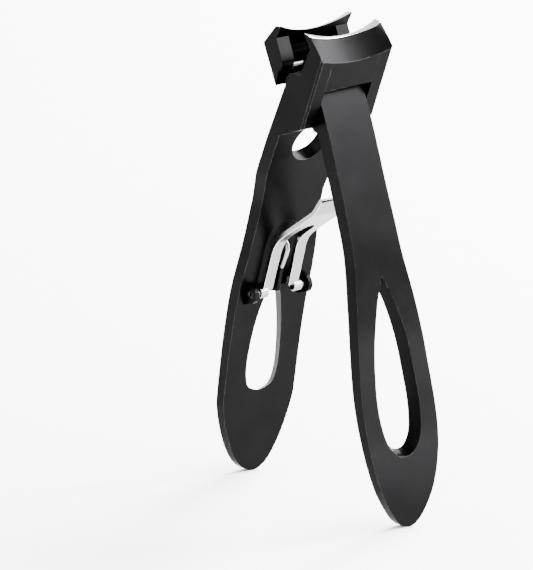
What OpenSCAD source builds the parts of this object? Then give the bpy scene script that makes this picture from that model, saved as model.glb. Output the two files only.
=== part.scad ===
// Plier-type nail clipper with skeleton handles, a sprung rebound arm and
// concave jaws. It stands on the tips of its two open handles.
// X runs from the frame handle (-X) to the lever handle (+X), Y along the
// pivot pin and Z up. Profiles are drawn in the X-Z plane.

/* [Head] */
// Width of the head and of the cutting edges
head_w = 19; // [17:0.5:24]
// Thickness of each cheek of the frame
cheek_t = 3.2; // [2.6:0.1:3.8]
// Size of the flat that breaks the front edge of each cheek
cheek_flat = 0.6; // [0.3:0.05:0.9]
// Side gap between a cheek and the lever head, filled by a washer
side_gap = 0.4; // [0.3:0.05:0.6]
// Depth of the hollow of the frame's cutting edge at the middle
edge_sag = 1.5; // [0.6:0.1:2]
// Depth of the hollow of the moving jaw's edge at the middle
jaw_sag = 1.9; // [0.8:0.1:2.2]
// Depth of the hollow of the jaw bevels at the middle of their foot
bevel_sag = 1.35; // [0.8:0.05:1.8]
// Depth of the hollow of the frame's bevel at the middle of its cutting edge
bevel_edge_sag = 0.6; // [0.4:0.05:0.8]

/* [Handles] */
// Height of the pivot above the handle tips
pivot_z = 85.6; // [72:0.2:104]
// Half of the distance between the outer faces of the two tips
tip_reach = 27.2; // [24:0.2:33]
// Thickness of the frame handle at its head, measured along X
frame_t_top = 3.7; // [3:0.1:4.4]
// Thickness of the frame handle at its tip, measured along X
frame_t_tip = 2.0; // [1.6:0.1:2.4]
// Thickness of the lever handle at its head, measured along X
lever_t_top = 4.0; // [3.4:0.1:4.4]
// Thickness of the lever handle at its tip, measured along X
lever_t_tip = 2.4; // [1.8:0.1:2.8]
// How much wider each slot is on the outer face than on the inner face, on each side
slot_draft = 1.1; // [0.4:0.1:1.4]
// Greatest half-width of both handles
grip_half = 9.5; // [8.5:0.1:11.4]
// Radius of the hanging hole in the frame handle
hang_r = 4.6; // [3.6:0.1:5.4]
// Depth of the pocket in the frame handle
pocket_depth = 1.2; // [0.6:0.1:1.5]

/* [Pivot] */
// Radius of the pivot pin
pin_r = 2.0; // [1.6:0.1:2.4]
// Radial running clearance of turning fits
run_gap = 0.04; // [0.02:0.01:0.08]
// Radial clearance of seated pins
seat_gap = 0.01; // [0.01:0.01:0.02]
// Thickness of metal left under the blind end of the pivot pin
blind_skin = 1.0; // [0.7:0.1:1.4]
// Wall of the pivot bushing
bush_wall = 0.55; // [0.4:0.05:0.6]
// Radius of the opening spring's wire
coil_wire_r = 0.4; // [0.3:0.02:0.45]
// Turns of the opening spring
coil_turns = 5; // [3:1:5]

/* [Rebound arm] */
// Thickness of the arm's sheet
arm_t = 1.0; // [0.7:0.1:1.2]
// Half-width of the arm's plate
arm_half = 4.3; // [3.6:0.1:4.9]
// Half-width of the gap between the arm's legs
fork_half = 1.85; // [1.4:0.05:2.2]
// Outward splay of each leg at its foot
leg_splay = 0.4; // [0.2:0.1:0.8]
// Height of the arm's hinge above the handle tips
hinge_z = 41.8; // [34:0.2:51]
// Distance of the arm's hinge from the frame handle's inner face
hinge_proud = 1.5; // [1.4:0.1:2.4]
// Thickness of each hinge ear
ear_t = 1.1; // [0.8:0.1:1.3]
// Distance from the middle to the inner face of each ear
ear_y = 6.6; // [6.2:0.1:6.9]
// Radius of the arm's hinge pins
arm_pin_r = 0.8; // [0.65:0.05:1]
// Radius of the arm spring's wire
arm_wire_r = 0.5; // [0.35:0.05:0.6]

/* [Hidden] */
$fn = 64;

black = [0.10, 0.10, 0.11];
steel = [0.75, 0.76, 0.78];

head_half = head_w / 2;
cheek_in = head_half - cheek_t;
lever_half = cheek_in - side_gap;
washer_t = side_gap - 0.1;
neck_half = 2.5;
head_drop = 12;
strip_top = pivot_z - head_drop;
reach_k = tip_reach / 27.2;
smooth_steps = 6;
tiny = 0.02;
wide = 2 * head_w;

// A smooth curve through stations
function spline_at(a, b, c, d, t) =
    0.5 * (2 * b + (c - a) * t + (2 * a - 5 * b + 4 * c - d) * t * t
        + (3 * b - a - 3 * c + d) * t * t * t);
function smooth(p) = [
    for (i = [0:len(p) - 2])
        for (j = [0:smooth_steps - 1])
            spline_at(p[max(i - 1, 0)], p[i], p[i + 1], p[min(i + 2, len(p) - 1)],
                j / smooth_steps),
    p[len(p) - 1],
];
// A round bend at a corner between two others, from a given distance before it to past it
function bend(before, corner, after, reach) =
    let (
        a = corner + reach * (before - corner) / norm(before - corner),
        b = corner + reach * (after - corner) / norm(after - corner)
    )
        [for (i = [0:smooth_steps])
            let (t = i / smooth_steps)
                (1 - t) * (1 - t) * a + 2 * t * (1 - t) * corner + t * t * b];
function reversed(p) = [for (i = [len(p) - 1:-1:0]) p[i]];
function mirrored(p) = concat(p, reversed([for (q = p) [-q[0], q[1]]]));
// A point of the head, given from the pivot
function hp(x, z) = [x, pivot_z + z];

// Handle centre curves: share of the handle's height, then X of its inner or outer face
frame_face = [
    [1, -6.9], [0.863, -11.6], [0.692, -15.1], [0.535, -18.7],
    [0.38, -21.3], [0.217, -23.4], [0.068, -24.9], [0, -25.2],
];
lever_face = [
    [1, 10.67], [0.798, 16.0], [0.602, 19.9], [0.402, 22.8],
    [0.235, 25.6], [0.095, 27.0], [0, 27.2],
];
function frame_t(u) = frame_t_tip + (frame_t_top - frame_t_tip) * u;
function lever_t(u) = lever_t_tip + (lever_t_top - lever_t_tip) * pow(u, 1.1);
// The faces at the tip keep their places while the reach changes
function spread(x, u) = x * (1 + (reach_k - 1) * (1 - u));
frame_inner = smooth([
    for (s = frame_face)
        [spread(s[1], s[0]) + (s[0] == 0 ? frame_t_tip - 2.0 : 0), s[0] * strip_top]
]);
frame_outer = [for (p = frame_inner) [p[0] - frame_t(p[1] / strip_top), p[1]]];
lever_outer = smooth([for (s = lever_face) [spread(s[1], s[0]), s[0] * strip_top]]);
lever_inner = [for (p = lever_outer) [p[0] - lever_t(p[1] / strip_top), p[1]]];
// X of a face at a height
function x_on(face, z) = lookup(z, [for (p = reversed(face)) [p[1], p[0]]]);
function frame_x(z) = x_on(frame_inner, z);

// Outlines seen from the front: half-width, share of the strip's height
frame_outline = [
    [1.0, 1.02], [0.975, 0.95], [0.86, 0.863], [0.89, 0.76], [0.97, 0.65], [1.0, 0.56],
    [1.0, 0.27], [0.96, 0.2], [0.8, 0.125], [0.6, 0.065], [0.4, 0.027], [0.19, 0.007],
    [0, 0],
];
lever_outline = [
    [1, 1.06], [1, 0.95], [1.03, 0.85], [0.67, 0.76], [0.81, 0.63], [0.93, 0.49],
    [1.0, 0.34], [0.94, 0.22], [0.74, 0.115], [0.43, 0.04], [0.2, 0.009], [0, 0],
];
lever_slot = [
    [0, 0.709], [0.24, 0.635], [0.45, 0.53], [0.545, 0.43], [0.575, 0.335],
    [0.47, 0.255], [0.22, 0.212], [0, 0.204],
];
frame_slot = [
    [0, 0.592], [0.13, 0.565], [0.25, 0.53], [0.37, 0.455], [0.43, 0.385],
    [0.44, 0.32], [0.36, 0.27], [0.15, 0.252], [0, 0.249],
];
// Half-widths follow the grip, and near the head the half-width given for the top
function grip(s, top_half) = [
    for (p = smooth([
        for (q = s) [q[0] * (q[1] > 0.8 ? top_half : grip_half), q[1] * strip_top]
    ])) [min(max(p[0], 0), max(grip_half, top_half)), max(p[1], 0)]
];

// Points of the head
cheek_corner = hp(-4.4, -6.2);
back_low = hp(-10.5, -head_drop);
wall_in_low = hp(-6.9, -head_drop);
edge_in = hp(3.74, 17.6);
edge_out = hp(5.57, 17.3);
bevel_low = hp(10.0, 12.9);
front_low = hp(3.2, -3.3);
hook_in = hp(5.8, 14.5);
gap_low = hp(2.7, 8.2);
back_dome = hp(-2.45, 5.1);
window_top = hp(6.75, 5.1);
hang_at = hp(-7.4, -8.9);
hang_tilt = 23.6;

jaw_edge_out = hp(-5.65, 17.1);
jaw_edge_in = hp(-3.7, 17.5);
jaw_hook = hp(-5.36, 14.6);
jaw_back = hp(-9.7, 12.8);
jaw_low = hp(-5.65, 4.3);
cross_at = hp(-4.9, 8.3);
spring_pin_at = hp(-2.9, -5.1);

barrel_r = 4.3;
bush_r = pin_r + run_gap + bush_wall;
coil_r = bush_r + coil_wire_r + 0.2;
coil_half = neck_half - coil_wire_r - 0.1;
slot_r = coil_r + coil_wire_r + 0.2;
slot_half = neck_half + 0.3;
leg_lean = 0.8;
lever_top_r = 2.2;
cross_r = 0.55;
rivet_r = 0.6;
spring_pin_r = 0.45;

hinge_at = [frame_x(hinge_z) + hinge_proud, hinge_z];
bend_low = hinge_at + [3.8, 11.9];
bend_high = hinge_at + [17.0, 20.8];
arm_tip = hinge_at + [19.2, 23.8];
arm_path = concat([hinge_at], bend(hinge_at, bend_low, bend_high, 3.2),
    bend(bend_low, bend_high, arm_tip, 1.0), [arm_tip]);
eye_r = arm_pin_r + run_gap + 0.35;
pin_hollow_r = arm_pin_r - 0.35;
ear_r = 1.9;
pocket_half = 5.0;
pocket_low = hinge_z + 0.4;
pocket_high = hinge_z + 10.5;

// Extrudes an X-Z profile along Y, from y0 to y1
module side(y0, y1) {
    translate([0, y1, 0]) rotate([90, 0, 0]) linear_extrude(y1 - y0) children();
}
// Extrudes a Y-Z outline along X over the whole clipper
module front() {
    translate([-2 * wide, 0, 0]) rotate([90, 0, 90]) linear_extrude(4 * wide) children();
}
// A round bar along Y
module bar(at, r, y0, y1) {
    translate([at[0], y1, at[1]]) rotate([90, 0, 0]) cylinder(r = r, h = y1 - y0);
}
// Both sides of the middle plane
module both() {
    children();
    mirror([0, 1, 0]) children();
}
// A cylinder that hollows a face through two profile points, by a sag at each of them
module hollow(a, b, sag_a, sag_b) {
    sag = max(sag_a, sag_b);
    r = (head_half * head_half + sag * sag) / (2 * sag);
    face = b - a;
    out = [-face[1], face[0]] / norm(face);
    along = face + out * (sag_a - sag_b);
    mid = (a + b) / 2 + out * (r - (sag_a + sag_b) / 2);
    translate([mid[0], 0, mid[1]])
        rotate([0, atan2(along[0], along[1]), 0])
            cylinder(r = r, h = 3 * head_w, center = true, $fn = 128);
}
// A wire through a list of points
module wire(path, r, sides) {
    n = len(path);
    rings = [
        for (i = [0:n - 1])
            let (
                ahead = path[min(i + 1, n - 1)] - path[max(i - 1, 0)],
                t = ahead / norm(ahead),
                guess = abs(t[1]) < 0.8 ? [0, 1, 0] : [1, 0, 0],
                u = cross(t, guess) / norm(cross(t, guess)),
                v = cross(t, u)
            )
            for (k = [0:sides - 1])
                path[i] + r * (u * cos(360 * k / sides) + v * sin(360 * k / sides))
    ];
    walls = [
        for (i = [0:n - 2])
            for (k = [0:sides - 1])
                let (a = i * sides + k, b = i * sides + (k + 1) % sides)
                    each [[a, b, b + sides], [a, b + sides, a + sides]]
    ];
    caps = [
        [for (k = [sides - 1:-1:0]) k],
        [for (k = [0:sides - 1]) (n - 1) * sides + k],
    ];
    polyhedron(points = rings, faces = concat(walls, caps));
}

// A slot with sloping walls: its outline lies on one face of a handle and grows
// by a given distance on the way to the other face
module drafted_slot(outline, face, other_face, growth) {
    past = 0.4;
    n = len(outline);
    half_h = (outline[0][1] - outline[n - 1][1]) / 2;
    mid_z = outline[n - 1][1] + half_h;
    half_w = max([for (p = outline) p[0]]);
    rings = [
        for (s = [1 + past, -past])
            for (p = outline)
                let (
                    y = max(p[0], tiny) * (1 + s * growth / half_w),
                    z = mid_z + (p[1] - mid_z) * (1 + s * growth / half_h),
                    x = x_on(face, z)
                )
                    each [for (side = [1, -1]) [x + s * (x_on(other_face, z) - x), side * y, z]]
    ];
    quads = concat(
        [for (i = [0:n - 2]) let (a = 2 * i, b = a + 2 * n) each [
            [a, a + 1, a + 3, a + 2], [b + 1, b, b + 2, b + 3],
            [a, a + 2, b + 2, b], [b + 1, b + 3, a + 3, a + 1],
        ]],
        [[0, 2 * n, 2 * n + 1, 1], [2 * n - 1, 4 * n - 1, 4 * n - 2, 2 * n - 2]]
    );
    polyhedron(points = rings,
        faces = [for (q = quads) each [[q[0], q[1], q[2]], [q[0], q[2], q[3]]]]);
}

// The strip of the frame handle up to the head
module frame_strip() {
    intersection() {
        side(-wide, wide) polygon(concat(frame_outer, reversed(frame_inner)));
        front() polygon(mirrored(grip(frame_outline, head_half)));
    }
}
module cheek_profile() {
    polygon([back_low, hp(-8.8, -8), back_dome, hp(-1.2, 7.7), gap_low, hp(2.9, 8.9), hook_in,
        bevel_low, front_low, cheek_corner, wall_in_low]);
    translate(hp(0.75, 5.1)) circle(r = 3.2);
}
module back_wall_profile() {
    polygon([back_low, hp(-8.8, -8), hp(-6.2, -2.6), hp(-3.5, -3.6), hp(-4.4, -6.2),
        wall_in_low]);
}
module bridge_profile() {
    polygon([hook_in, bevel_low, window_top, hp(4.9, 6.2), hp(4.1, 8.9)]);
}

module frame_handle() {
    color(black) difference() {
        union() {
            difference() {
                frame_strip();
                drafted_slot(grip(frame_slot, head_half), frame_inner, frame_outer, slot_draft);
            }
            both() side(cheek_in, head_half) cheek_profile();
            side(-cheek_in, cheek_in) back_wall_profile();
            side(-cheek_in, cheek_in) bridge_profile();
        }
        hollow(edge_out, bevel_low, bevel_edge_sag, bevel_sag);
        both() broken_edge();
        translate([hang_at[0], 0, hang_at[1]])
            rotate([0, 90 + hang_tilt, 0]) cylinder(r = hang_r, h = head_w, center = true);
        bar(hp(0, 0), pin_r + seat_gap, -head_half + blind_skin, wide);
        bar(spring_pin_at, spring_pin_r + seat_gap, -cheek_in - 1.2, cheek_in + 1.2);
        pocket();
    }
}
// A flat along the front edge of a cheek
module broken_edge() {
    along = bevel_low - front_low;
    translate([front_low[0], head_half, front_low[1]])
        rotate([0, atan2(along[0], along[1]), 0])
            rotate([0, 0, 45])
                cube([cheek_flat, cheek_flat, 4 * norm(along)], center = true);
}
// The blind pocket behind the arm's legs, with an arched top
module pocket() {
    x_mid = frame_x((pocket_low + pocket_high) / 2);
    intersection() {
        side(-wide, wide)
            polygon(concat(
                [for (p = frame_inner) [p[0] - pocket_depth, p[1]]],
                reversed([for (p = frame_inner) [p[0] + pocket_depth, p[1]]])));
        front() union() {
            translate([-pocket_half, pocket_low])
                square([2 * pocket_half, pocket_high - pocket_low]);
            translate([0, pocket_high]) circle(r = pocket_half);
        }
    }
}

// The hardened blade of the frame, with its ground land and hollow bevel
module fixed_jaw() {
    color(steel) difference() {
        side(-head_half, head_half) polygon([edge_in, edge_out, bevel_low, hook_in]);
        hollow(edge_in, edge_out, edge_sag, edge_sag);
        hollow(edge_out, bevel_low, bevel_edge_sag, bevel_sag);
    }
}
module pivot_pin() {
    color(steel) bar(hp(0, 0), pin_r, -head_half + blind_skin, head_half);
}
module pivot_washer() {
    mid = (cheek_in + lever_half) / 2;
    difference() {
        bar(hp(0, 0), barrel_r - 0.3, mid - washer_t / 2, mid + washer_t / 2);
        bar(hp(0, 0), pin_r + run_gap, 0, head_half);
    }
}
module near_pivot_washer() {
    color(steel) mirror([0, 1, 0]) pivot_washer();
}
module far_pivot_washer() {
    color(steel) pivot_washer();
}
// Coils round the bushing, one leg on the frame's pin and one on the lever
module opening_spring() {
    per_turn = 14;
    steps = per_turn * (coil_turns + 0.5);
    coil = [
        for (i = [0:steps])
            let (a = 180 + 360 * i / per_turn, y = -coil_half + 2 * coil_half * i / steps)
                [coil_r * cos(a), y, pivot_z + coil_r * sin(a)]
    ];
    lean = coil_wire_r + spring_pin_r + 0.05;
    frame_leg = [
        [spring_pin_at[0] + lean + 0.1, -coil_half, pivot_z - 6.2],
        [spring_pin_at[0] + lean, -coil_half, spring_pin_at[1]],
        [-coil_r + 0.15, -coil_half, pivot_z - 1.6],
    ];
    lever_leg = [
        [coil_r + 0.1, coil_half, pivot_z - 1.2],
        [coil_r + leg_lean, coil_half, pivot_z - 6.4],
    ];
    color(steel) wire(concat(frame_leg, coil, lever_leg), coil_wire_r, 8);
}
module frame_spring_pin() {
    color(steel) bar(spring_pin_at, spring_pin_r, -cheek_in - 1.2, cheek_in + 1.2);
}
// Everything behind the inner face of the frame handle
module behind_frame(depth) {
    side(-wide, wide) polygon(concat(
        [for (p = frame_inner) [p[0] - depth, p[1]]], [[-3 * wide, 0], [-3 * wide, strip_top]]));
}
module hinge_ear() {
    difference() {
        side(ear_y, ear_y + ear_t) {
            translate(hinge_at) circle(r = ear_r);
            polygon([
                hinge_at + [0, ear_r], hinge_at + [-hinge_proud - 1, ear_r + 1.2],
                hinge_at + [-hinge_proud - 2, -ear_r - 1.2], hinge_at + [0, -ear_r],
            ]);
        }
        behind_frame(0);
        bar(hinge_at, arm_pin_r + seat_gap, 0, head_half);
    }
}
module near_hinge_ear() {
    color(black) mirror([0, 1, 0]) hinge_ear();
}
module far_hinge_ear() {
    color(black) hinge_ear();
}
// A tubular pin, open at its outer end
module arm_pin() {
    difference() {
        bar(hinge_at, arm_pin_r, arm_half + 0.3, ear_y + ear_t - 0.15);
        bar(hinge_at, pin_hollow_r, ear_y - 0.6, head_half);
    }
}
module near_arm_pin() {
    color(steel) mirror([0, 1, 0]) arm_pin();
}
module far_arm_pin() {
    color(steel) arm_pin();
}
// A fin on the floor of the pocket that holds the arm spring's foot
module spring_post() {
    fin_half = 0.5;
    low = pocket_low - 1.4;
    high = pocket_low + 4;
    color(black) difference() {
        side(-fin_half, fin_half) polygon([
            [frame_x(low) - 2, low], [frame_x(low) + 1.7, low + 0.5],
            [frame_x(high) + 1.2, high], [frame_x(high) - 2, high],
        ]);
        behind_frame(pocket_depth);
    }
}
// A bent wire from the post's tip up between the legs, its end curled onto the frame
module arm_spring() {
    low = pocket_low + 4 + arm_wire_r + 0.1;
    bends = [
        [0, 0.9], [1.6, 1.2], [3.0, 1.4], [4.2, 1.5], [5.2, 1.1], [5.7, 0.5], [5.4, 0.0],
        [4.7, arm_wire_r + 0.15 - pocket_depth],
    ];
    path = [for (b = bends) [frame_x(low + b[0]) + b[1], 0, low + b[0]]];
    color(steel) wire(path, arm_wire_r, 10);
}

module lever_strip() {
    difference() {
        intersection() {
            side(-wide, wide) polygon(concat(lever_outer, reversed(lever_inner)));
            front() polygon(mirrored(grip(lever_outline, lever_half)));
        }
        drafted_slot(grip(lever_slot, lever_half), lever_outer, lever_inner, -slot_draft);
    }
}
// The lever's plate above the strip, with rounded top corners
module lever_plate() {
    top = hp(0, 4.3)[1];
    low = strip_top - 1;
    intersection() {
        side(-lever_half, lever_half) polygon([
            lever_outer[0], hp(8.0, -4.8), hp(4.15, 4.1), hp(3.3, 4.3), hp(0, 3.0), hp(0, -3.0),
            hp(4.0, -4.8), lever_inner[0],
        ]);
        front() {
            translate([-lever_half, low]) square([2 * lever_half, top - lever_top_r - low]);
            translate([-lever_half + lever_top_r, low])
                square([2 * (lever_half - lever_top_r), top - low]);
            for (y = [-1, 1])
                translate([y * (lever_half - lever_top_r), top - lever_top_r])
                    circle(r = lever_top_r);
        }
    }
}
module lever_handle() {
    color(black) difference() {
        union() {
            lever_strip();
            lever_plate();
            bar(hp(0, 0), barrel_r, -lever_half, lever_half);
            side(-lever_half, lever_half) polygon([
                hp(-1.5, 3.9), hp(-2.6, 6.2), hp(-6.0, 6.2), hp(-6.0, 5.2), hp(-5.7, 4.7),
                hp(-4.2, 0.9),
            ]);
            side(-neck_half, neck_half)
                polygon([hp(-2.6, 6.0), hp(-3.2, 9.2), hp(-6.0, 9.6), hp(-6.0, 6.0)]);
        }
        bar(hp(0, 0), pin_r + run_gap, -head_half, head_half);
        bar(hp(0, 0), slot_r, -slot_half, slot_half);
        side(-slot_half, slot_half)
            polygon([
                hp(-slot_r, 0), hp(slot_r, 0), hp(slot_r + leg_lean - 0.1, -6.8),
                hp(-slot_r, -6.8),
            ]);
        bar(cross_at, cross_r + seat_gap, -head_half, head_half);
        jaw_rivet_bars(rivet_r + seat_gap);
    }
}
module pivot_bushing() {
    color(steel) difference() {
        bar(hp(0, 0), bush_r, -slot_half + 0.05, slot_half - 0.05);
        bar(hp(0, 0), pin_r + run_gap, -head_half, head_half);
    }
}
module jaw_outline() {
    polygon([
        jaw_edge_out, jaw_edge_in, jaw_hook, hp(-3.4, 10.1), hp(-3.4, 8.9), hp(-4.8, 7.4),
        jaw_low, jaw_back,
    ]);
}
module moving_jaw() {
    color(black) difference() {
        union() {
            both() side(cheek_in, head_half) jaw_outline();
            side(-cheek_in, cheek_in) polygon([
                jaw_edge_out, jaw_edge_in, jaw_hook, hp(-6.9, 12), hp(-6.9, 10.8),
                hp(-6.0, 10.8), hp(-6.0, 5.03), jaw_back,
            ]);
        }
        hollow(jaw_edge_out, jaw_edge_in, jaw_sag, jaw_sag);
        hollow(jaw_back, jaw_edge_out, bevel_sag, bevel_sag);
        bar(cross_at, cross_r + seat_gap, -cheek_in - 1.5, cheek_in + 1.5);
        jaw_rivet_bars(rivet_r + seat_gap);
    }
}
// Two rivets that run from the jaw's back into the lever's neck
module jaw_rivet_bars(r) {
    for (z = [6.9, 8.9])
        translate([-10, z == 6.9 ? 1.4 : -1.4, pivot_z + z]) rotate([0, 90, 0])
            cylinder(r = r, h = 4.4);
}
module jaw_rivets() {
    color(steel) intersection() {
        jaw_rivet_bars(rivet_r);
        side(-head_half, head_half)
            polygon([jaw_back, hp(-3.4, 12.8), hp(-3.4, 4.3), jaw_low]);
    }
}
module jaw_cross_pin() {
    color(steel) bar(cross_at, cross_r, -cheek_in - 1.5, cheek_in + 1.5);
}

// A sheet's profile along a path, with round ends
module sheet_profile(path) {
    last = len(path) - 1;
    offsets = [
        for (i = [0:last])
            let (d = path[min(i + 1, last)] - path[max(i - 1, 0)])
                [-d[1], d[0]] / norm(d) * arm_t / 2
    ];
    polygon(concat(
        [for (i = [0:last]) path[i] + offsets[i]],
        [for (i = [last:-1:0]) path[i] - offsets[i]]));
    for (at = [path[0], path[last]])
        translate(at) circle(r = arm_t / 2);
}
// A chromed fork on two hinge eyes, bent out to a rounded lip
module rebound_arm() {
    foot = hinge_z - 2 * eye_r;
    waist = bend_low[1];
    color(steel) difference() {
        union() {
            intersection() {
                side(-wide, wide) sheet_profile(arm_path);
                front() polygon(mirrored([
                    [0, foot], [arm_half + leg_splay, foot], [arm_half + leg_splay / 2, waist - 5],
                    [arm_half, waist], [arm_half, arm_tip[1] + 2], [0, arm_tip[1] + 2],
                ]));
            }
            both() bar(hinge_at, eye_r, arm_half + leg_splay - 1.2, arm_half + leg_splay + 0.7);
        }
        front() {
            polygon(mirrored([
                [0, foot - 1], [fork_half + leg_splay, foot - 1],
                [fork_half + leg_splay / 2, waist - 5], [fork_half, waist],
                [fork_half, waist + 2.6], [0, waist + 2.6],
            ]));
            translate([0, waist + 2.6]) circle(r = fork_half);
        }
        bar(hinge_at, arm_pin_r + run_gap, -head_half, head_half);
    }
}

frame_handle();
fixed_jaw();
pivot_pin();
near_pivot_washer();
far_pivot_washer();
opening_spring();
frame_spring_pin();
near_hinge_ear();
far_hinge_ear();
near_arm_pin();
far_arm_pin();
spring_post();
arm_spring();
lever_handle();
pivot_bushing();
moving_jaw();
jaw_rivets();
jaw_cross_pin();
rebound_arm();
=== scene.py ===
"""Looks for a plier-type nail clipper that stands on its two open handles."""

import math

import bmesh
import bpy
from mathutils import Matrix, Vector


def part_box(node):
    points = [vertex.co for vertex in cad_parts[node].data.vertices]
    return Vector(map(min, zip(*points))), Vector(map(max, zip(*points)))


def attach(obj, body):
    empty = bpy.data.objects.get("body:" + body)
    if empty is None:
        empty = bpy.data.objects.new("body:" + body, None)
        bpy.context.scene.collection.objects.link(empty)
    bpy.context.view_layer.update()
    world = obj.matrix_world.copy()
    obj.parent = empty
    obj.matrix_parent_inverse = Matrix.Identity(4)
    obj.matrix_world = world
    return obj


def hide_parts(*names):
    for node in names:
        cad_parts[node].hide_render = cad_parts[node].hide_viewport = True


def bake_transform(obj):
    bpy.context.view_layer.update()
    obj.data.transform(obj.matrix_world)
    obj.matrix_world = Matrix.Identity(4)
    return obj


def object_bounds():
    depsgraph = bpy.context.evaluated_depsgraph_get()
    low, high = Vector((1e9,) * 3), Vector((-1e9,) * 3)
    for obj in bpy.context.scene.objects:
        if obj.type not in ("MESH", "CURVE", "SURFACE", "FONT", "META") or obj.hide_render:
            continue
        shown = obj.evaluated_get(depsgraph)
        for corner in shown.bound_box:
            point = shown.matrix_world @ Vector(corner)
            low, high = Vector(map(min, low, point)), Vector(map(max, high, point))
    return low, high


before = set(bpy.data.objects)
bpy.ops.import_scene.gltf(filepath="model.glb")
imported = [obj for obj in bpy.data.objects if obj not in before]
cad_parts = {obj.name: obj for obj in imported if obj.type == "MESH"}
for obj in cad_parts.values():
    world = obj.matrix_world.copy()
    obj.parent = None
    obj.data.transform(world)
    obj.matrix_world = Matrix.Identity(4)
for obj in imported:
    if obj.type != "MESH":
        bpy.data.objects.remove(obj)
CAD_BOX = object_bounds()
MM = 0.001

# ---------------------------------------------------------------- camera

# The direction the clipper is seen from, and what lies at the picture's centre
VIEW_AZIMUTH = 51.5
VIEW_ELEVATION = 16.1
VIEW_DISTANCE = 3.3
AIM_RIGHT = -0.01282
AIM_UP = 0.04449
# Millimetres of lens, which show about 120 mm over the picture's height at that distance
LENS = 994
SENSOR = 36


def make_camera():
    """Looks along one direction, with the aim given across and up the picture."""
    az = math.radians(VIEW_AZIMUTH)
    el = math.radians(VIEW_ELEVATION)
    right = Vector((math.cos(az), math.sin(az), 0))
    up = Vector((-math.sin(az) * math.sin(el), math.cos(az) * math.sin(el), math.cos(el)))
    back = right.cross(up)
    data = bpy.data.cameras.new("camera")
    data.lens = LENS
    data.sensor_width = SENSOR
    data.clip_start = 0.05
    data.clip_end = 20
    camera = bpy.data.objects.new("camera", data)
    bpy.context.scene.collection.objects.link(camera)
    place = right * AIM_RIGHT + up * AIM_UP + back * VIEW_DISTANCE
    turn = Matrix((right, up, back)).transposed().to_4x4()
    camera.matrix_world = Matrix.Translation(place) @ turn
    bpy.context.scene.camera = camera


make_camera()

# ---------------------------------------------------------------- materials


def new_material(name):
    """A material with its node tree and its shader."""
    material = bpy.data.materials.new(name)
    material.use_nodes = True
    tree = material.node_tree
    shader = tree.nodes["Principled BSDF"]
    return material, tree, shader


def coords(tree, scale):
    """Object coordinates, in metres, stretched by scale."""
    place = tree.nodes.new("ShaderNodeTexCoord")
    mapping = tree.nodes.new("ShaderNodeMapping")
    mapping.inputs["Scale"].default_value = scale
    tree.links.new(place.outputs["Object"], mapping.inputs["Vector"])
    return mapping.outputs["Vector"]


def noise(tree, vector, scale, detail=4.0):
    node = tree.nodes.new("ShaderNodeTexNoise")
    node.inputs["Scale"].default_value = scale
    node.inputs["Detail"].default_value = detail
    tree.links.new(vector, node.inputs["Vector"])
    return node.outputs["Fac"]


def ramp(tree, value, low, high, colours):
    node = tree.nodes.new("ShaderNodeValToRGB")
    node.color_ramp.elements[0].position = low
    node.color_ramp.elements[1].position = high
    node.color_ramp.elements[0].color = colours[0]
    node.color_ramp.elements[1].color = colours[1]
    tree.links.new(value, node.inputs["Fac"])
    return node.outputs["Color"]


def spread(tree, value, low, high):
    """A value from 0 to 1 spread between low and high."""
    node = tree.nodes.new("ShaderNodeMapRange")
    node.inputs["To Min"].default_value = low
    node.inputs["To Max"].default_value = high
    tree.links.new(value, node.inputs["Value"])
    return node.outputs["Result"]


def bump(tree, shader, value, strength, distance):
    node = tree.nodes.new("ShaderNodeBump")
    node.inputs["Strength"].default_value = strength
    node.inputs["Distance"].default_value = distance
    tree.links.new(value, node.inputs["Height"])
    tree.links.new(node.outputs["Normal"], shader.inputs["Normal"])


def grey(v, tint=1.0):
    """A grey, whose blue is scaled by tint."""
    return (v, v, v * tint, 1)


def satin_black(tree, vector):
    """Colour and roughness of the black plating: faintly mottled, with a fine skin."""
    broad = noise(tree, vector, 140.0, 3.0)
    fine = noise(tree, vector, 5200.0, 2.0)
    colour = ramp(tree, broad, 0.3, 0.75, (grey(BLACK_LOW, 1.05), grey(BLACK_HIGH, 1.04)))
    return colour, spread(tree, broad, 0.30, 0.38), fine


def black_plate():
    """Black plated forged steel."""
    material, tree, shader = new_material("black_plate")
    shader.inputs["Metallic"].default_value = 1.0
    shader.inputs["Specular Tint"].default_value = GRAZING
    colour, rough, fine = satin_black(tree, coords(tree, (1, 1, 1)))
    tree.links.new(colour, shader.inputs["Base Color"])
    tree.links.new(rough, shader.inputs["Roughness"])
    bump(tree, shader, fine, 0.05, 0.00002)
    return material


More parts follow.
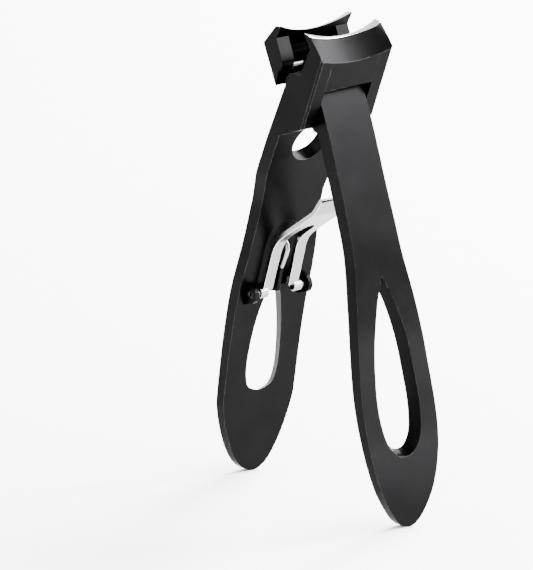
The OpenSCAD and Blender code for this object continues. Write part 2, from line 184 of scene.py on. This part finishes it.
def ground_edge_plate():
    """Black plating whose upward land at the cutting edge is ground bright."""
    material, tree, shader = new_material("ground_edge_plate")
    shader.inputs["Metallic"].default_value = 1.0
    shader.inputs["Specular Tint"].default_value = GRAZING
    colour, rough, fine = satin_black(tree, coords(tree, (1, 1, 1)))
    place = tree.nodes.new("ShaderNodeTexCoord")
    facing = tree.nodes.new("ShaderNodeSeparateXYZ")
    tree.links.new(place.outputs["Normal"], facing.inputs["Vector"])
    height = tree.nodes.new("ShaderNodeSeparateXYZ")
    tree.links.new(place.outputs["Object"], height.inputs["Vector"])
    up = limits(tree, facing.outputs["Z"], LAND_FACING, LAND_FACING + 0.05)
    high = limits(tree, height.outputs["Z"], LAND_HEIGHT, LAND_HEIGHT + 0.0002)
    mask = tree.nodes.new("ShaderNodeMath")
    mask.operation = "MULTIPLY"
    tree.links.new(up, mask.inputs[0])
    tree.links.new(high, mask.inputs[1])
    lines = noise(tree, coords(tree, (12, 1, 12)), 900.0, 3.0)
    bright = ramp(tree, lines, 0.2, 0.8, (grey(0.80), grey(0.92)))
    tree.links.new(mix(tree, mask, "RGBA", colour, bright), shader.inputs["Base Color"])
    tree.links.new(mix(tree, mask, "FLOAT", rough, spread(tree, lines, 0.16, 0.26)),
                   shader.inputs["Roughness"])
    bump(tree, shader, fine, 0.05, 0.00002)
    return material


def limits(tree, value, low, high):
    """0 below low, 1 above high."""
    node = tree.nodes.new("ShaderNodeMapRange")
    node.inputs["From Min"].default_value = low
    node.inputs["From Max"].default_value = high
    tree.links.new(value, node.inputs["Value"])
    return node.outputs["Result"]


def mix(tree, factor, kind, a, b):
    node = tree.nodes.new("ShaderNodeMix")
    node.data_type = kind
    first, second, out = (6, 7, 2) if kind == "RGBA" else (2, 3, 0)
    tree.links.new(factor.outputs[0], node.inputs[0])
    tree.links.new(a, node.inputs[first])
    tree.links.new(b, node.inputs[second])
    return node.outputs[out]


def bright_metal(name, tone, rough, stretch, grain, strength, grazing=1.0):
    """Bare or chromed steel with a fine grain along one direction."""
    material, tree, shader = new_material(name)
    shader.inputs["Metallic"].default_value = 1.0
    shader.inputs["Specular Tint"].default_value = grey(grazing)
    vector = coords(tree, stretch)
    lines = noise(tree, vector, grain, 3.0)
    colour = ramp(tree, lines, 0.2, 0.8, (grey(tone * 0.94, 1.01), grey(tone, 1.01)))
    tree.links.new(colour, shader.inputs["Base Color"])
    tree.links.new(spread(tree, lines, rough * 0.8, rough * 1.25), shader.inputs["Roughness"])
    bump(tree, shader, lines, strength, 0.00001)
    return material


# The darkest and palest reflection of the black plating
BLACK_LOW = 0.0032
BLACK_HIGH = 0.0042
# The cutting lands face up, and are the only such faces above this height
LAND_FACING = 0.84
LAND_HEIGHT = CAD_BOX[1][2] - 3.2 * MM

# How much of its mirror-like sheen the plating keeps at a grazing angle
GRAZING = grey(0.54)

BLACK = black_plate()
EDGE = ground_edge_plate()
CHROME = bright_metal("arm_chrome", 0.17, 0.22, (1, 1, 1), 900.0, 0.03, 0.62)
# Near-black steel for the near arm pin: painted shade of the hole in its ear
NEAR_PIN_SHADE = bright_metal("near_pin_shaded_steel", 0.05, 0.30, (1, 8, 1), 1500.0, 0.1)
# Paler chrome for the arm's rounded rims: a painted edge highlight
CHROME_RIM_HIGHLIGHT = bright_metal("arm_chrome_rim_highlight", 0.80, 0.15, (1, 1, 1), 900.0, 0.03)
# Paler steel for the handles' rounded rims: a painted edge highlight
RIM_HIGHLIGHT = bright_metal("rim_highlight_steel", 0.16, 0.34, (1, 1, 1), 700.0, 0.05)
TURNED = bright_metal("turned_steel", 0.20, 0.28, (1, 8, 1), 1500.0, 0.1)
WIRE = bright_metal("spring_wire", 0.22, 0.25, (1, 1, 1), 1800.0, 0.08)

# ---------------------------------------------------------------- CAD nodes


def dress(node, material):
    """Gives a CAD node its finish."""
    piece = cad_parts[node]
    piece.data.materials.clear()
    piece.data.materials.append(material)


def copy_of(node):
    """A CAD node's mesh, in place, for a piece that stands for it."""
    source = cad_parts[node]
    mesh = source.data.copy()
    mesh.transform(source.matrix_world)
    return mesh


def finish_of(node, mesh, materials):
    """The piece that shows a mesh for a CAD node, smooth and in its first material."""
    mesh.materials.clear()
    for material in materials:
        mesh.materials.append(material)
    for face in mesh.polygons:
        face.use_smooth = True
        face.material_index = 0
    piece = bpy.data.objects.new(f"{node}_finish", mesh)
    bpy.context.scene.collection.objects.link(piece)
    return piece


def on_seam(edge):
    """Whether an edge lies in the plane where the fixed jaw meets the frame."""
    return all(abs((v.co - SEAM_POINT).dot(SEAM_NORMAL)) < SEAM_NEAR for v in edge.verts)


def rounded(node, body, material, width, segments=3, seam=False, rim=None):
    """A clean copy of a CAD node with small rounded edges, which stands for it."""
    mesh = copy_of(node)
    work = bmesh.new()
    work.from_mesh(mesh)
    bmesh.ops.remove_doubles(work, verts=work.verts, dist=SAME_POINT)
    bmesh.ops.dissolve_degenerate(work, edges=work.edges, dist=SLIVER)
    bmesh.ops.dissolve_limit(work, angle_limit=FLAT, verts=work.verts, edges=work.edges)
    weight = work.edges.layers.float.new("bevel_weight_edge")
    for edge in work.edges:
        turn = edge.calc_face_angle(0) if len(edge.link_faces) == 2 else math.pi
        joint = seam and on_seam(edge)
        edge[weight] = 1.0 if turn > ROUND_ABOVE and not joint else 0.0
        edge.smooth = turn < SMOOTH_BELOW and not joint
    work.to_mesh(mesh)
    work.free()
    piece = finish_of(node, mesh, (material, rim or material))
    edges = piece.modifiers.new("edges", "BEVEL")
    edges.width = width
    edges.segments = segments
    edges.limit_method = "WEIGHT"
    edges.use_clamp_overlap = True
    # The rounded faces take the rim material, which on the handles and the arm is a painted
    # edge highlight
    edges.material = RIM_SLOT
    normals = piece.modifiers.new("normals", "WEIGHTED_NORMAL")
    normals.keep_sharp = True
    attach(piece, body)
    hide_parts(node)
    return piece


def wound(node, material):
    """A torsion spring between the bodies its legs bear on, left where it stands and attached
    to no body.
    """
    piece = finish_of(node, copy_of(node), (material,))
    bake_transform(piece)
    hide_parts(node)
    return piece


# How a CAD mesh is cleaned before its edges are rounded
SAME_POINT = 0.002 * MM
SLIVER = 0.004 * MM
FLAT = math.radians(0.3)

# Edges that turn more than this are rounded, and those that turn less than that look smooth
ROUND_ABOVE = math.radians(24)
SMOOTH_BELOW = math.radians(20)
RIM_SLOT = 1

# How wide the rounded edges are
HANDLE_EDGE = 0.18 * MM
FIXED_JAW_EDGE = 0.10 * MM
MOVING_JAW_EDGE = 0.12 * MM
ARM_EDGE = 0.14 * MM
EAR_EDGE = 0.14 * MM
POST_EDGE = 0.16 * MM
PIN_EDGE = 0.08 * MM

# The jaw's inner hook and the foot of its bevel, which the seam runs between
SEAM_NEAR = 0.02 * MM
PIVOT = Vector((0, 0, sum(c[2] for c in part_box("pivot_pin")) / 2))
SEAM_POINT = PIVOT + Vector((5.8, 0, 14.5)) * MM
SEAM_FOOT = PIVOT + Vector((10.0, 0, 12.9)) * MM
SEAM_NORMAL = (SEAM_FOOT - SEAM_POINT).cross(Vector((0, 1, 0))).normalized()

# The frame handle's rounded rims carry a painted edge highlight
rounded("frame_handle", "frame", BLACK, HANDLE_EDGE, seam=True, rim=RIM_HIGHLIGHT)
rounded("fixed_jaw", "frame", EDGE, FIXED_JAW_EDGE, 2, seam=True)
# The lever handle's rounded rims carry a painted edge highlight
rounded("lever_handle", "lever", BLACK, HANDLE_EDGE, rim=RIM_HIGHLIGHT)
rounded("moving_jaw", "lever", EDGE, MOVING_JAW_EDGE)
# The arm's rounded rims carry a painted highlight in paler chrome
rounded("rebound_arm", "arm", CHROME, ARM_EDGE, rim=CHROME_RIM_HIGHLIGHT)
for ear in ("near_hinge_ear", "far_hinge_ear"):
    rounded(ear, "frame", BLACK, EAR_EDGE)
rounded("spring_post", "frame", BLACK, POST_EDGE)
# The near pin is painted dark as shade, while the far pin of the same kind stays chrome
rounded("near_arm_pin", "frame", NEAR_PIN_SHADE, PIN_EDGE, 2)
rounded("far_arm_pin", "frame", CHROME, PIN_EDGE, 2)
for turned in ("pivot_pin", "near_pivot_washer", "far_pivot_washer", "frame_spring_pin",
               "pivot_bushing", "jaw_cross_pin"):
    dress(turned, TURNED)
wound("opening_spring", WIRE)
dress("arm_spring", WIRE)
dress("jaw_rivets", BLACK)

# ---------------------------------------------------------------- studio


def make_floor():
    """A plain pale floor at the height that the clipper stands on."""
    material, tree, shader = new_material("floor")
    tone = ramp(tree, noise(tree, coords(tree, (1, 1, 1)), 3.0), 0.3, 0.7,
                (grey(0.95), grey(0.97)))
    tree.links.new(tone, shader.inputs["Base Color"])
    shader.inputs["Roughness"].default_value = 0.6
    mesh = bpy.data.meshes.new("floor")
    reach = FLOOR_REACH
    corners = [(-reach, -reach, 0), (reach, -reach, 0), (reach, reach, 0), (-reach, reach, 0)]
    mesh.from_pydata(corners, [], [(0, 1, 2, 3)])
    floor = bpy.data.objects.new("floor", mesh)
    mesh.materials.append(material)
    bpy.context.scene.collection.objects.link(floor)


def area_light(name, place, size, radiance):
    """A soft box that faces the clipper, with the brightness it shows in a mirror."""
    data = bpy.data.lights.new(name, "AREA")
    data.shape = "RECTANGLE"
    data.size, data.size_y = size
    data.energy = radiance * math.pi * size[0] * size[1]
    light = bpy.data.objects.new(name, data)
    bpy.context.scene.collection.objects.link(light)
    turn = (LIGHT_AIM - Vector(place)).to_track_quat("-Z", "Y").to_matrix().to_4x4()
    light.matrix_world = Matrix.Translation(Vector(place)) @ turn


def make_world():
    """Pale at the horizon and dark overhead, so that the hollow jaw grades into black."""
    world = bpy.data.worlds.new("studio")
    world.use_nodes = True
    tree = world.node_tree
    place = tree.nodes.new("ShaderNodeTexCoord")
    parts = tree.nodes.new("ShaderNodeSeparateXYZ")
    tree.links.new(place.outputs["Generated"], parts.inputs["Vector"])
    tones = ramp(tree, parts.outputs["Z"], 0.2, 0.9, (grey(1.0), grey(0.22)))
    tree.links.new(tones, tree.nodes["Background"].inputs["Color"])
    tree.nodes["Background"].inputs["Strength"].default_value = WORLD_LIGHT
    bpy.context.scene.world = world


FLOOR_REACH = 3.0
WORLD_LIGHT = 3.6
LIGHT_AIM = Vector((0, 0, 0.06))

make_floor()
make_world()
# Where each light is, its width and height, all in metres, and its radiance: the first lights
# the lever's face, the second the jaw's bevel, and the last the lever's low end
area_light("face_light", (0.80, 0.64, 0.62), (0.60, 0.26), 75)
area_light("bevel_light", (-0.06, 0.86, 0.68), (1.00, 0.60), 78)
area_light("front_light", (-0.35, -0.85, 1.0), (0.7, 0.5), 5)
area_light("tip_light", (0.27, 0.19, 0.017), (0.11, 0.028), 60)
